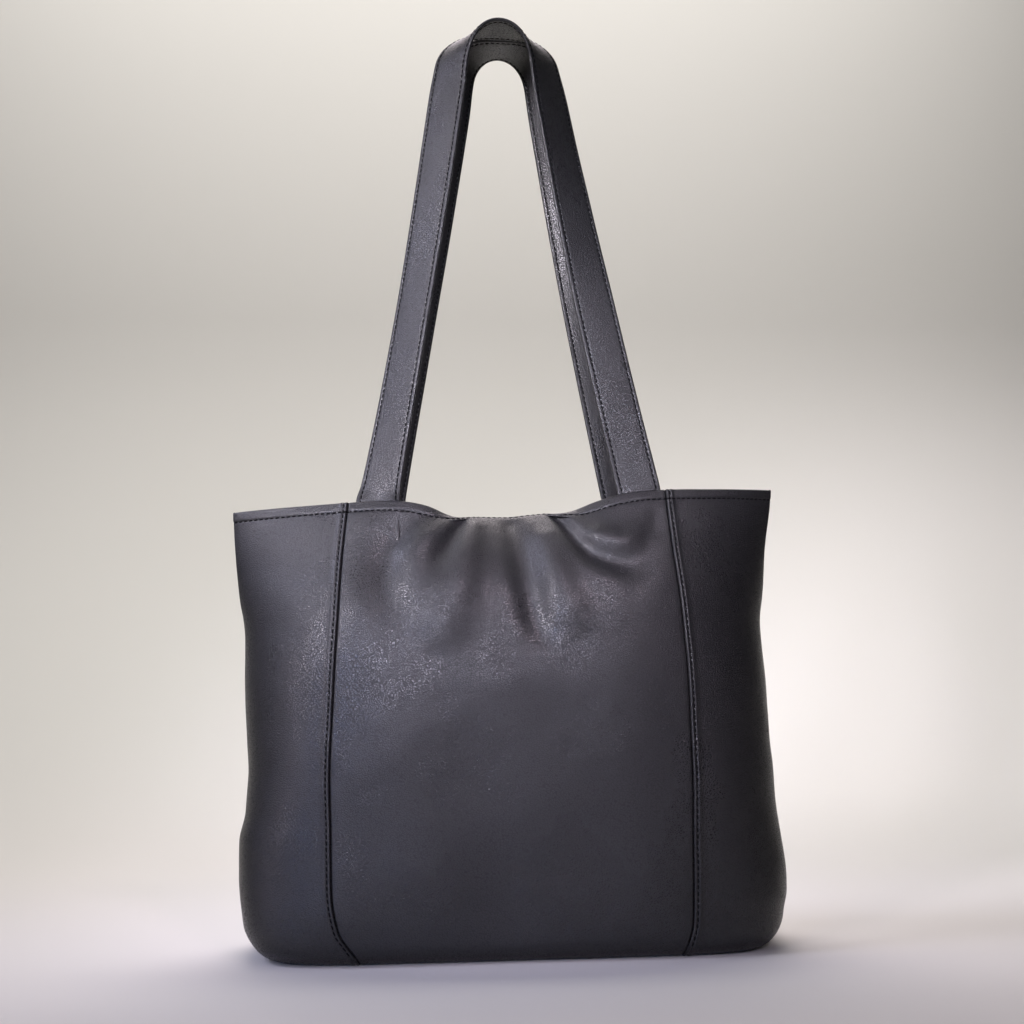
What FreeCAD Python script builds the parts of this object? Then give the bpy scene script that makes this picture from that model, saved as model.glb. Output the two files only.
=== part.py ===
import FreeCAD, Part
import math
import os
import Sketcher

# Soft tote carried as a diaper bag: six leather panels, two looped shoulder straps,
# a lined inside with pockets, and a magnetic snap that draws the mouth together.
# Millimetres, +Z up, -Y towards the front, origin under the middle of the flat base.

V = FreeCAD.Vector
doc = FreeCAD.newDocument("DiaperBag")

# ---------------------------------------------------------------- driving dimensions
sizes = doc.addObject("Spreadsheet::Sheet", "sizes")
DRIVING = [
    ("rim_height", 337.0), ("rim_dip", 12.0), ("rim_dip_width", 50.0),
    ("rim_half_width", 205.0), ("rim_half_depth", 45.0),
    ("waist_half_width", 198.0), ("bulge_half_width", 208.0), ("base_half_width", 191.0),
    ("body_half_depth", 74.0), ("base_half_depth", 65.0),
    ("snap_gap_half", 9.2), ("pinch_width", 45.0),
    ("seam_half_top", 118.0), ("seam_half_low", 130.0), ("seam_half_base", 121.0),
    ("leather", 1.6), ("ply_gap", 0.3), ("facing_leather", 1.2), ("cloth", 0.8),
    ("facing_height", 52.0), ("hem_room", 3.0),
    ("strap_width", 34.0), ("strap_ply", 1.0), ("strap_core_thick", 1.0),
    ("strap_core_width", 27.0), ("strap_root_half", 101.5), ("strap_arch_radius", 38.6),
    ("strap_top", 726.5), ("strap_clear", 5.0), ("strap_tail", 34.0),
    ("strap_start", 1.0), ("strap_twist", 38.0), ("strap_easing", 30.0),
    ("board_half_width", 176.0), ("board_half_depth", 55.0), ("board_thick", 2.4),
    ("board_corner", 24.0),
    ("snap_radius", 9.0), ("snap_wall", 0.4), ("snap_hole", 5.0), ("snap_height", 305.0),
    ("snap_clear", 0.4), ("cup_depth", 3.0), ("magnet_thick", 2.0), ("magnet_slack", 0.1),
    ("cup_back_thick", 0.4), ("stud_radius", 4.6), ("stud_length", 1.8), ("stud_stand", 0.6),
    ("plate_thick", 2.0), ("washer_radius", 8.0), ("washer_hole", 3.0),
    ("washer_thick", 0.8),
    ("pocket_half_width", 126.0), ("pocket_low", 42.0), ("pocket_high", 160.0),
    ("pocket_depth", 13.0), ("pocket_cloth", 1.0), ("pocket_divide", 42.0),
    ("elastic_height", 8.0), ("elastic_thick", 1.4),
    ("zip_height", 178.0), ("zip_plane", 61.9), ("zip_half", 82.0),
    ("zip_window", 11.0), ("welt_border", 8.0), ("welt_thick", 1.2),
    ("tape_width", 10.0), ("tape_thick", 0.6), ("coil_height", 1.9), ("coil_thick", 1.5),
    ("coil_pitch", 2.0), ("coil_slot", 1.4), ("slider_length", 11.0),
    ("slider_height", 8.0), ("slider_plate", 1.0), ("slider_clear", 0.35),
    ("slider_post", 0.7), ("post_length", 3.0), ("slider_from_end", 10.0),
    ("ear_width", 1.2), ("ear_height", 2.2), ("ear_top", 0.2),
    ("bail_radius", 0.7), ("bail_rise", 2.4), ("bail_span", 5.0),
    ("pull_length", 26.0), ("pull_width", 7.5), ("pull_thick", 1.0), ("pull_neck", 4.2),
    ("pull_shoulder", 3.0), ("barrel_radius", 1.6), ("barrel_clear", 0.2),
    ("stop_length", 2.6), ("stop_height", 5.4), ("stop_cover", 0.4), ("tape_overlap", 4.0),
    ("pouch_half_width", 88.0), ("pouch_drop", 120.0),
    ("pouch_cloth", 0.6), ("pouch_room", 3.4),
]
for row, (alias, value) in enumerate(DRIVING, start=1):
    sizes.set("A%d" % row, alias)
    sizes.set("B%d" % row, str(value))
    sizes.setAlias("B%d" % row, alias)
doc.recompute()


def size(alias):
    """Read one driving dimension from the sheet."""
    return float(sizes.get(alias))


RIM = size("rim_height")
FRONT, BACK = -1.0, 1.0


# ---------------------------------------------------------------- the bag's outer form
# Each level: height, half width, half depth, squareness of the plan, sharpness of its
# ends, and half the gap that the snap leaves on the middle line.
def levels():
    wide, low = size("bulge_half_width"), size("base_half_width")
    waist, rim = size("waist_half_width"), size("rim_half_width")
    deep, foot, lip = size("body_half_depth"), size("base_half_depth"), size("rim_half_depth")
    gap = size("snap_gap_half")
    return [
        (0.0, low, foot, 8.0, 0.20, foot),
        (4.0, low + 5.0, foot + 4.0, 8.0, 0.20, foot + 4.0),
        (12.0, low + 10.0, foot + 7.0, 7.5, 0.22, foot + 7.0),
        (30.0, wide - 3.0, deep, 6.5, 0.25, deep),
        (58.0, wide, deep, 5.5, 0.30, deep),
        (95.0, wide - 3.0, deep, 4.8, 0.36, deep),
        (130.0, waist + 3.0, deep, 4.3, 0.42, deep),
        (190.0, waist + 1.0, deep - 0.5, 3.8, 0.50, deep - 1.0),
        (235.0, waist, deep - 3.5, 3.4, 0.60, 0.86 * deep),
        (268.0, waist + 1.5, 0.89 * deep, 3.0, 0.70, 0.42 * deep),
        (292.0, waist + 4.0, 0.78 * deep, 2.7, 0.80, gap + 1.5),
        (315.0, rim - 1.0, 0.5 * (0.78 * deep + lip) - 1.0, 2.5, 0.86, gap),
        (RIM, rim, lip, 2.4, 0.90, gap),
        (RIM + 60.0, rim, lip, 2.4, 0.90, gap),
    ]


def plan_depth(x, level, inset):
    """Depth of the bag in front of its middle plane at x, moved inwards by inset."""
    _, half_width, half_depth, square, sharp, gap = level
    across = min(abs(x) / (half_width - inset), 1.0)
    full = (half_depth - inset) * (1.0 - across ** square) ** sharp
    pinch = math.exp(-((x / size("pinch_width")) ** 2)) * (1.0 - gap / half_depth)
    return full * (1.0 - pinch) - inset * pinch


def plan_wire(level, inset, side, overrun):
    """Half of the plan as a closed wire: a spline along the wall, closed past y = 0."""
    steps = 26
    reach = level[1] - inset
    points = []
    for i in range(steps + 1):
        x = -reach * math.cos(math.pi * i / steps)
        points.append(V(x, side * max(plan_depth(x, level, inset), 0.0), level[0]))
    wall = Part.BSplineCurve()
    wall.interpolate(points)
    first, last = points[0], points[-1]
    if overrun == 0.0:
        return Part.Wire([wall.toShape(), Part.makeLine(last, first)])
    back = -side * overrun
    a = V(last.x, back, level[0])
    b = V(first.x, back, level[0])
    return Part.Wire([wall.toShape(), Part.makeLine(last, a), Part.makeLine(a, b),
                      Part.makeLine(b, first)])


def between(rows, height):
    """Blend two neighbouring levels of the form at a height."""
    for low, high in zip(rows, rows[1:]):
        if low[0] <= height <= high[0]:
            share = (height - low[0]) / (high[0] - low[0])
            return tuple(p + share * (q - p) for p, q in zip(low, high))
    return rows[-1]


def half_bag(inset, side, low=0.0, high=RIM + 10.0, overrun=0.0):
    """Solid front or back half of the bag, moved inwards by inset, between two heights."""
    rows = levels()
    heights = [low] + [r[0] for r in rows if low + 0.5 < r[0] < high - 0.5] + [high]
    wires = [plan_wire(between(rows, h), inset, side, overrun) for h in heights]
    return Part.makeLoft(wires, True, True)


def wall(outer_inset, inner_inset, side, floor, ceiling=RIM + 10.0, bottom=0.0):
    """A ply that lines the bag: from bottom up, open at the top, floor thick below."""
    outer = half_bag(outer_inset, side, bottom, ceiling)
    inner = half_bag(inner_inset, side, floor, ceiling + 5.0, overrun=4.0)
    return outer.cut(inner)


def block(x0, x1, y0, y1, z0, z1):
    return Part.makeBox(x1 - x0, y1 - y0, z1 - z0, V(x0, y0, z0))


def rim_line(x):
    """Height of the top edge, which dips where the snap draws it together."""
    return RIM - size("rim_dip") * math.exp(-((x / size("rim_dip_width")) ** 2))


def under_rim(low=-5.0, drop=0.0):
    """Everything below the rim's curved top edge."""
    reach = size("rim_half_width") + 30.0
    steps = 24
    points = [V(-reach + 2 * reach * i / steps, 0, 0) for i in range(steps + 1)]
    points = [V(p.x, -200, rim_line(p.x) - drop) for p in points]
    top = Part.BSplineCurve()
    top.interpolate(points)
    a, b = V(reach, -200, low), V(-reach, -200, low)
    outline = Part.Wire([top.toShape(), Part.makeLine(points[-1], a), Part.makeLine(a, b),
                         Part.makeLine(b, points[0])])
    return Part.Face(outline).extrude(V(0, 400, 0))


def centre_prism():
    """The width of the centre panels, between the two long curved seams."""
    top, low, base = size("seam_half_top"), size("seam_half_low"), size("seam_half_base")
    shape = [(-10.0, base - 1.0), (6.0, base), (60.0, low - 1.0), (130.0, low),
             (230.0, low - 4.0), (RIM + 20.0, top)]
    sides = []
    for sign in (-1.0, 1.0):
        edge = Part.BSplineCurve()
        edge.interpolate([V(sign * x, -200, z) for z, x in shape])
        sides.append(edge.toShape())
    ends = [Part.makeLine(V(-x, -200, z), V(x, -200, z)) for z, x in (shape[0], shape[-1])]
    outline = Part.Wire(Part.__sortEdges__([sides[0], ends[0], sides[1], ends[1]]))
    return Part.Face(outline).extrude(V(0, 400, 0))


NODES = []


def shaped(name, shape):
    """Keep a shape built from the form as one named piece of the document."""
    piece = doc.addObject("Part::Feature", name)
    piece.Shape = shape
    piece.Placement = FreeCAD.Placement()
    piece.Label = name
    NODES.append(piece)
    return piece


def kept(piece, name):
    """Name a finished parametric object as one piece."""
    piece.Label = name
    NODES.append(piece)
    return piece


# ---------------------------------------------------------------- leather panels
LEATHER, GAP = size("leather"), size("ply_gap")
TRIM = under_rim()
CENTRE = centre_prism()


def panels(side, name):
    """Centre, left and right leather panel of one face, wrapped under to the middle."""
    skin = wall(0.0, LEATHER, side, LEATHER).common(TRIM)
    outer = skin.cut(CENTRE)
    solids = sorted(outer.Solids, key=lambda s: s.CenterOfMass.x)
    shaped(name + "_centre_panel", skin.common(CENTRE))
    shaped(name + "_left_panel", solids[0])
    shaped(name + "_right_panel", solids[-1])


panels(FRONT, "front")
panels(BACK, "back")

# ---------------------------------------------------------------- inside plies
HEM = LEATHER + GAP
FACING_OUT = HEM + size("hem_room") + GAP
FACING_IN = FACING_OUT + size("facing_leather")
LINING_OUT = FACING_IN + GAP
LINING_IN = LINING_OUT + size("cloth")
BOARD_LOW = LEATHER
LINING_FLOOR = BOARD_LOW + size("board_thick") + GAP
FACING_LOW = RIM - size("facing_height")
SEWN_GAP = 0.15


def facing(side, name):
    """Leather band inside the rim, which closes the hem over the strap ends."""
    band = wall(FACING_OUT, FACING_IN, side, FACING_LOW - 1.0, bottom=FACING_LOW)
    shaped(name, band.common(under_rim(drop=0.6)))


def lining(side, name):
    """Cloth lining, sewn to the facing above and lying on the base board below."""
    shaped(name, wall(LINING_OUT, LINING_IN, side, LINING_FLOOR + size("cloth"),
                      FACING_LOW + 12.0, LINING_FLOOR))


facing(FRONT, "front_facing")
facing(BACK, "back_facing")
lining(FRONT, "front_lining")
lining(BACK, "back_lining")


def strap_tail(side, sign, name):
    """End of a strap, sewn in the hem between the panel and the facing."""
    half, root = size("strap_width") / 2, sign * size("strap_root_half")
    ply = wall(HEM, HEM + size("hem_room"), side, 200.0, bottom=210.0)
    low = RIM - size("strap_tail")
    shaped(name, ply.common(block(root - half, root + half, -100, 100, low, RIM - 0.4)))


for side, face in ((FRONT, "front"), (BACK, "back")):
    for sign, hand in ((-1.0, "left"), (1.0, "right")):
        strap_tail(side, sign, "%s_%s_strap_tail" % (face, hand))

# ---------------------------------------------------------------- slip pockets
def slip_pocket():
    """Cloth pouch on the front lining, sewn into three bottle pockets."""
    near, far = LINING_IN + GAP, LINING_IN + GAP + size("pocket_depth")
    cloth, wide, split = size("pocket_cloth"), size("pocket_half_width"), size("pocket_divide")
    low, high = size("pocket_low"), size("pocket_high")
    body = wall(near, far, FRONT, low - 8.0, high + 20.0, low - 10.0)
    body = body.common(block(-wide, wide, -100, -5, low, high))
    hollow = wall(near + cloth, far - cloth, FRONT, low - 8.0, high + 30.0, low - 10.0)
    edges = [-wide, -split, split, wide]
    for x0, x1 in zip(edges, edges[1:]):
        body = body.cut(hollow.common(
            block(x0 + cloth, x1 - cloth, -100, -5, low + cloth, high + 20.0)))
    shaped("slip_pocket", body)
    rest = far + SEWN_GAP
    band = wall(rest, rest + size("elastic_thick"), FRONT, low, high + 20.0, low + 2.0)
    strip = block(-wide, wide, -100, -5, high - size("elastic_height"), high)
    shaped("slip_pocket_elastic", band.common(strip))


slip_pocket()


def pouch():
    """Flat cloth bag of the zip pocket, hanging between the lining and the back panel."""
    cloth, half = size("pouch_cloth"), size("pouch_half_width")
    near = HEM + SEWN_GAP
    far = near + size("pouch_room")
    top = size("zip_height") + 8.0
    low = top - size("pouch_drop")
    outer = wall(near, far, BACK, low - 20.0, top + 30.0, low - 22.0)
    inner = wall(near + cloth, far - cloth, BACK, low - 20.0, top + 40.0, low - 22.0)
    outer = outer.common(block(-half, half, 5, 100, low, top))
    inner = inner.common(block(cloth - half, half - cloth, 5, 100, low + cloth, top + 5.0))
    shaped("zip_pocket_bag", outer.cut(inner))


pouch()

# ---------------------------------------------------------------- shoulder straps
STRAP_Y = plan_depth(size("strap_root_half"), between(levels(), RIM), 0.0) \
    - HEM - size("hem_room") / 2


def strap_stations():
    """Points, outward normals and width directions along a front strap, left to right."""
    radius, twist = size("strap_arch_radius"), size("strap_twist")
    root = V(-size("strap_root_half"), 0, RIM)
    centre_z = size("strap_top") - radius
    reach = math.hypot(root.x, centre_z - root.z)
    lean = math.atan2(-root.x, centre_z - root.z) - math.asin(radius / reach)
    foot = V(-radius * math.cos(lean), 0, centre_z + radius * math.sin(lean))
    rise, start = foot.z - root.z, size("strap_start")
    near = [start, start + 0.4 * size("strap_easing"), start + size("strap_easing")]
    far = [near[-1] + (rise - near[-1]) * i / 10 for i in range(1, 10)]
    half = []
    for climb in near + far:
        tilt = lean * min((climb - start) / size("strap_easing"), 1.0)
        run = climb / rise
        half.append((root + (foot - root) * run, tilt, twist * run ** 1.2))
    arch_steps = 6
    for i in range(arch_steps + 1):
        share = i / arch_steps
        angle = lean + share * (math.pi / 2 - lean)
        point = V(-radius * math.cos(angle), 0, centre_z + radius * math.sin(angle))
        ease = share * share * (3.0 - 2.0 * share)
        half.append((point, angle, twist + (90.0 - twist) * ease))
    y_root = -STRAP_Y
    y_top = -(size("strap_width") / 2 + size("strap_clear") / 2)
    stations = []
    for point, angle, turned in half:
        point.y = y_root + (y_top - y_root) * min((point.z - RIM) / rise, 1.0)
        outward = V(-math.cos(angle), 0, math.sin(angle))
        turn = math.radians(turned)
        normal = V(0, -1, 0) * math.cos(turn) + outward * math.sin(turn)
        along = V(math.sin(angle), 0, math.cos(angle))
        stations.append((point, normal, along.cross(normal)))
    mirrored = [(V(-p.x, p.y, p.z), V(-n.x, n.y, n.z), V(w.x, -w.y, -w.z))
                for p, n, w in reversed(stations[:-1])]
    return stations + mirrored


def strap_ply(side, width, low, high):
    """One ply of a strap: the band between two distances from its middle layer."""
    rings = []
    for point, normal, across in strap_stations():
        corners = [point + across * (s * width / 2) + normal * d
                   for s, d in ((-1, low), (1, low), (1, high), (-1, high))]
        corners = [V(c.x, -side * c.y, c.z) for c in corners]
        rings.append(Part.makePolygon(corners + corners[:1]))
    return Part.makeLoft(rings, True, True)


def strap(side, name):
    core, ply, slack = size("strap_core_thick") / 2, size("strap_ply"), 0.1
    wide = size("strap_width")
    shaped(name + "_outer", strap_ply(side, wide, core + slack, core + slack + ply))
    shaped(name + "_core", strap_ply(side, size("strap_core_width"), -core, core))
    shaped(name + "_inner", strap_ply(side, wide, -core - slack - ply, -core - slack))


strap(FRONT, "front_strap")
strap(BACK, "back_strap")


# ---------------------------------------------------------------- helpers for hard parts
def bound(piece, **links):
    """Tie properties of an object to the sheet."""
    for prop, expression in links.items():
        piece.setExpression(prop, expression)
    return piece


def cylinder(name, radius, height, y0, x="0", z="sizes.snap_height"):
    """Disc whose axis runs towards -Y, starting at the plane y0."""
    piece = doc.addObject("Part::Cylinder", name)
    bound(piece, Radius=radius, Height=height)
    piece.Placement = FreeCAD.Placement(V(0, 0, 0), FreeCAD.Rotation(V(1, 0, 0), 90))
    piece.setExpression("Placement.Base.x", x)
    piece.setExpression("Placement.Base.y", y0)
    piece.setExpression("Placement.Base.z", z)
    return piece


def box(name, length, width, height, x, y, z):
    piece = doc.addObject("Part::Box", name)
    bound(piece, Length=length, Width=width, Height=height)
    piece.setExpression("Placement.Base.x", x)
    piece.setExpression("Placement.Base.y", y)
    piece.setExpression("Placement.Base.z", z)
    return piece


def cut(name, base, tool):
    piece = doc.addObject("Part::Cut", name)
    piece.Base, piece.Tool = base, tool
    return piece


def body_plane(body, role):
    return [f for f in body.Origin.OriginFeatures if f.Role == role][0]


def new_sketch(body, name, role="XY_Plane"):
    sketch = body.newObject("Sketcher::SketchObject", name)
    sketch.AttachmentSupport = [(body_plane(body, role), "")]
    sketch.MapMode = "FlatFace"
    return sketch


def rectangle(sketch, width, height):
    """Rectangle about the sketch's origin, bound to two expressions."""
    corners = [V(-5, -3, 0), V(5, -3, 0), V(5, 3, 0), V(-5, 3, 0)]
    first = sketch.GeometryCount
    for a, b in zip(corners, corners[1:] + corners[:1]):
        sketch.addGeometry(Part.LineSegment(a, b), False)
    for i in range(4):
        sketch.addConstraint(Sketcher.Constraint(
            "Coincident", first + i, 2, first + (i + 1) % 4, 1))
    for i, way in enumerate(("Horizontal", "Vertical", "Horizontal", "Vertical")):
        sketch.addConstraint(Sketcher.Constraint(way, first + i))
    sketch.addConstraint(Sketcher.Constraint("Symmetric", first, 1, first + 1, 2, -1, 1))
    for line, way, expression in ((first, "DistanceX", width), (first + 1, "DistanceY", height)):
        index = sketch.addConstraint(Sketcher.Constraint(way, line, 1, line, 2, 6.0))
        sketch.setExpression("Constraints[%d]" % index, expression)


def circle(sketch, radius):
    """Circle about the sketch's origin, bound to an expression."""
    sketch.addGeometry(Part.Circle(V(0, 0, 0), V(0, 0, 1), 3.0), False)
    sketch.addConstraint(Sketcher.Constraint("Coincident", 0, 3, -1, 1))
    index = sketch.addConstraint(Sketcher.Constraint("Radius", 0, 3.0))
    sketch.setExpression("Constraints[%d]" % index, radius)


def pad(body, sketch, name, length, reverse=False):
    feature = body.newObject("PartDesign::Pad", name)
    feature.Profile = sketch
    feature.Reversed = reverse
    feature.setExpression("Length", length)
    body.Tip = feature
    return feature


# ---------------------------------------------------------------- base board
def base_board():
    """Stiff sheet under the lining that keeps the base flat, with rounded corners."""
    body = doc.addObject("PartDesign::Body", "base_board_body")
    sketch = new_sketch(body, "board_outline")
    rectangle(sketch, "2 * sizes.board_half_width", "2 * sizes.board_half_depth")
    sheet = pad(body, sketch, "board_pad", "sizes.board_thick")
    doc.recompute()
    corners = ["Edge%d" % (i + 1) for i, e in enumerate(sheet.Shape.Edges)
               if abs(e.tangentAt(e.FirstParameter).z) > 0.9]
    fillet = body.newObject("PartDesign::Fillet", "board_corners")
    fillet.Base = (sheet, corners)
    fillet.setExpression("Radius", "sizes.board_corner")
    body.Tip = fillet
    body.Placement = FreeCAD.Placement(V(0, 0, BOARD_LOW + 0.05), FreeCAD.Rotation())
    kept(body, "base_board")


base_board()


# ---------------------------------------------------------------- magnetic snap
def snap():
    """Cup with its ring magnet on the front facing, stud plate on the back facing."""
    face = "sizes.snap_clear"
    fit = "sizes.snap_radius - sizes.snap_wall - sizes.magnet_slack"
    cup_solid = cylinder("cup_solid", "sizes.snap_radius", "sizes.cup_depth", face)
    inside = cylinder("cup_inside", "sizes.snap_radius - sizes.snap_wall",
                      "sizes.cup_depth", face + " - sizes.snap_wall")
    mouth = cylinder("cup_mouth", "sizes.snap_hole", "5", "2")
    shell = cut("cup_shell", cup_solid, inside)
    kept(cut("cup", shell, mouth), "front_snap_cup")
    ring = cylinder("magnet_disc", fit, "sizes.magnet_thick",
                    face + " - sizes.snap_wall - sizes.magnet_slack / 2")
    bore = cylinder("magnet_bore", "sizes.snap_hole + sizes.magnet_slack", "6", "2")
    kept(cut("magnet", ring, bore), "front_snap_magnet")
    plate_y = face + " - sizes.snap_wall - sizes.magnet_thick - sizes.magnet_slack"
    kept(cylinder("back_plate", fit, "sizes.cup_back_thick", plate_y), "front_snap_back_plate")
    stud = doc.addObject("PartDesign::Body", "stud_body")
    plate_sketch = new_sketch(stud, "stud_plate_outline")
    circle(plate_sketch, "sizes.snap_radius")
    pad(stud, plate_sketch, "stud_plate", "sizes.plate_thick")
    post_sketch = new_sketch(stud, "stud_post_outline")
    circle(post_sketch, "sizes.stud_radius")
    pad(stud, post_sketch, "stud_post", "sizes.plate_thick + sizes.stud_length")
    stud_y = size("stud_stand") + size("plate_thick")
    stud.Placement = FreeCAD.Placement(V(0, stud_y, size("snap_height")),
                                       FreeCAD.Rotation(V(1, 0, 0), 90))
    kept(stud, "back_snap_stud")
    depth = plan_depth(0.0, between(levels(), size("snap_height") + size("washer_radius")), 0.0)
    behind = depth - HEM
    for name, y0 in (("front", size("washer_thick") - behind), ("back", behind)):
        disc = cylinder(name + "_washer_disc", "sizes.washer_radius", "sizes.washer_thick",
                        "%.3f" % y0)
        hole = cylinder(name + "_washer_bore", "sizes.washer_hole", "4", "%.3f" % (y0 + 1.5))
        kept(cut(name + "_washer", disc, hole), name + "_snap_washer")


snap()


# ---------------------------------------------------------------- zip of the inner pocket
TAPE_GAP = 0.1


def zip_parts():
    """Welt, tapes, coils, end stops, slider and pull of the zip on the back lining."""
    plane = "sizes.zip_plane"
    outer = box("welt_outer", "2 * (sizes.zip_half + sizes.welt_border)", "sizes.welt_thick",
                "sizes.zip_window + 2 * sizes.welt_border",
                "-sizes.zip_half - sizes.welt_border", plane + " - sizes.welt_thick",
                "sizes.zip_height - sizes.zip_window / 2 - sizes.welt_border")
    window = box("welt_window", "2 * sizes.zip_half", "6", "sizes.zip_window",
                 "-sizes.zip_half", plane + " - 3", "sizes.zip_height - sizes.zip_window / 2")
    kept(cut("welt", outer, window), "zip_welt")
    strips, coils, stops = [], [], []
    for name, low in (("upper", "sizes.zip_height + sizes.coil_slot / 2"),
                      ("lower", "sizes.zip_height - sizes.coil_slot / 2 - sizes.tape_width")):
        strips.append(box(name + "_tape", "2 * (sizes.zip_half + sizes.tape_overlap)",
                          "sizes.tape_thick", "sizes.tape_width",
                          "-sizes.zip_half - sizes.tape_overlap",
                          "%s + %s" % (plane, TAPE_GAP), low))
    tape = doc.addObject("Part::Compound", "tapes")
    tape.Links = strips
    kept(tape, "zip_tape")
    for name, low in (("upper", "sizes.zip_height + sizes.coil_slot / 2"),
                      ("lower", "sizes.zip_height - sizes.coil_slot / 2 - sizes.coil_height")):
        coils.append(coil(name, low))
    row = doc.addObject("Part::Compound", "coils")
    row.Links = coils
    kept(row, "zip_coil")
    for name, x in (("left", "-sizes.zip_half + 0.6"),
                    ("right", "sizes.zip_half - 0.6 - sizes.stop_length")):
        stops.append(box(name + "_stop", "sizes.stop_length",
                         "sizes.coil_thick + sizes.stop_cover", "sizes.stop_height", x,
                         plane + " - sizes.coil_thick - sizes.stop_cover",
                         "sizes.zip_height - sizes.stop_height / 2"))
    ends = doc.addObject("Part::Compound", "stops")
    ends.Links = stops
    kept(ends, "zip_end_stops")


def coil(name, low):
    """One coil of the zip: a core with a rib for each turn."""
    core = box(name + "_core", "2 * sizes.zip_half - 8", "sizes.coil_thick - 0.4",
               "sizes.coil_height - 0.4", "-sizes.zip_half + 4",
               "sizes.zip_plane - sizes.coil_thick + 0.4", low + " + 0.2")
    core.Visibility = False
    pitch = size("coil_pitch")
    count = int((2 * size("zip_half") - 10) / pitch)
    doc.recompute()
    turns = [Part.makeBox(pitch * 0.55, size("coil_thick"), size("coil_height"),
                          V(-size("zip_half") + 5 + i * pitch,
                            size("zip_plane") - size("coil_thick"),
                            core.Placement.Base.z - 0.2)) for i in range(count)]
    piece = doc.addObject("Part::Feature", name + "_coil")
    piece.Shape = core.Shape.fuse(turns)
    return piece


zip_parts()
WELD = 0.2
SLIDER_X = size("slider_from_end") - size("zip_half")


def slider():
    """Slider that rides the two coils: face plate, back plate, post and bail."""
    clear, plate = size("slider_clear"), size("slider_plate")
    length, tall = size("slider_length"), size("slider_height")
    face_y = size("zip_plane") - size("coil_thick") - clear
    back_y = size("zip_plane") + TAPE_GAP + size("tape_thick") + clear
    z0 = size("zip_height")
    body = doc.addObject("PartDesign::Body", "slider_body")
    for part, at, thick, wide, high in (
            ("face", face_y - plate, plate, length, tall),
            ("back", back_y, plate, length, tall),
            ("post", face_y - WELD, back_y - face_y + 2 * WELD,
             size("post_length"), size("slider_post"))):
        sketch = new_sketch(body, "slider_%s_outline" % part)
        sketch.AttachmentOffset = FreeCAD.Placement(V(0, 0, at - face_y), FreeCAD.Rotation())
        rectangle(sketch, "%.4f" % wide, "%.4f" % high)
        pad(body, sketch, "slider_" + part, "%.4f" % thick)
    bail_y = face_y - plate - size("bail_rise")
    for part, x in (("left", -1.0), ("right", 1.0)):
        sketch = new_sketch(body, "slider_%s_ear_outline" % part)
        sketch.AttachmentOffset = FreeCAD.Placement(
            V(x * (size("bail_span") / 2 + 0.5), 0, bail_y - face_y - size("bail_radius")),
            FreeCAD.Rotation())
        rectangle(sketch, "sizes.ear_width", "sizes.ear_height")
        pad(body, sketch, "slider_%s_ear" % part,
            "sizes.bail_rise + sizes.bail_radius + sizes.ear_top")
    bar = new_sketch(body, "slider_bar_outline", "YZ_Plane")
    bar.AttachmentOffset = FreeCAD.Placement(
        V(0, bail_y - face_y, -size("bail_span") / 2 - 0.5), FreeCAD.Rotation())
    circle(bar, "sizes.bail_radius")
    pad(body, bar, "slider_bar", "sizes.bail_span + 1")
    body.Placement = FreeCAD.Placement(V(SLIDER_X, face_y, z0), FreeCAD.Rotation(V(1, 0, 0), -90))
    kept(body, "zip_slider")
    return bail_y


BAIL_Y = slider()


def along_x(name, radius, length):
    """Cylinder about the slider's bar, centred on the slider."""
    piece = doc.addObject("Part::Cylinder", name)
    bound(piece, Radius=radius, Height=length)
    piece.Placement = FreeCAD.Placement(V(0, 0, 0), FreeCAD.Rotation(V(0, 1, 0), 90))
    piece.setExpression("Placement.Base.x", "%.4f - (%s) / 2" % (SLIDER_X, length))
    piece.setExpression("Placement.Base.y", "%.4f" % BAIL_Y)
    piece.setExpression("Placement.Base.z", "sizes.zip_height")
    return piece


def pull():
    """Flat pull tab whose barrel turns on the slider's bar."""
    thick_low = "%.4f - sizes.pull_thick / 2" % BAIL_Y
    tab = box("pull_tab", "sizes.pull_width", "sizes.pull_thick",
              "sizes.pull_length - sizes.pull_shoulder", "%.4f - sizes.pull_width / 2" % SLIDER_X,
              thick_low, "sizes.zip_height - sizes.pull_length")
    neck = box("pull_neck", "sizes.pull_neck", "sizes.pull_thick",
               "sizes.pull_shoulder", "%.4f - sizes.pull_neck / 2" % SLIDER_X,
               thick_low, "sizes.zip_height - sizes.pull_shoulder")
    barrel = along_x("pull_barrel", "sizes.barrel_radius", "sizes.pull_neck")
    bore = along_x("pull_bore", "sizes.bail_radius + sizes.barrel_clear", "sizes.pull_neck + 2")
    whole = doc.addObject("Part::MultiFuse", "pull_whole")
    whole.Shapes = [tab, neck, barrel]
    kept(cut("pull", whole, bore), "zip_pull")


pull()

# ---------------------------------------------------------------- check and write
doc.recompute()
bad = [o.Name for o in doc.Objects if "Invalid" in o.State or "Error" in o.State]
if bad:
    raise RuntimeError("failed objects: " + ", ".join(bad))
os.makedirs("parts", exist_ok=True)
for piece in NODES:
    shape = piece.Shape
    if shape.isNull() or not shape.isValid() or not shape.Solids:
        raise RuntimeError("bad shape: " + piece.Label)
    shape.exportStep("parts/%s.step" % piece.Label)
    print("%-26s solids %d  volume %.0f mm3" % (piece.Label, len(shape.Solids), shape.Volume))
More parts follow.
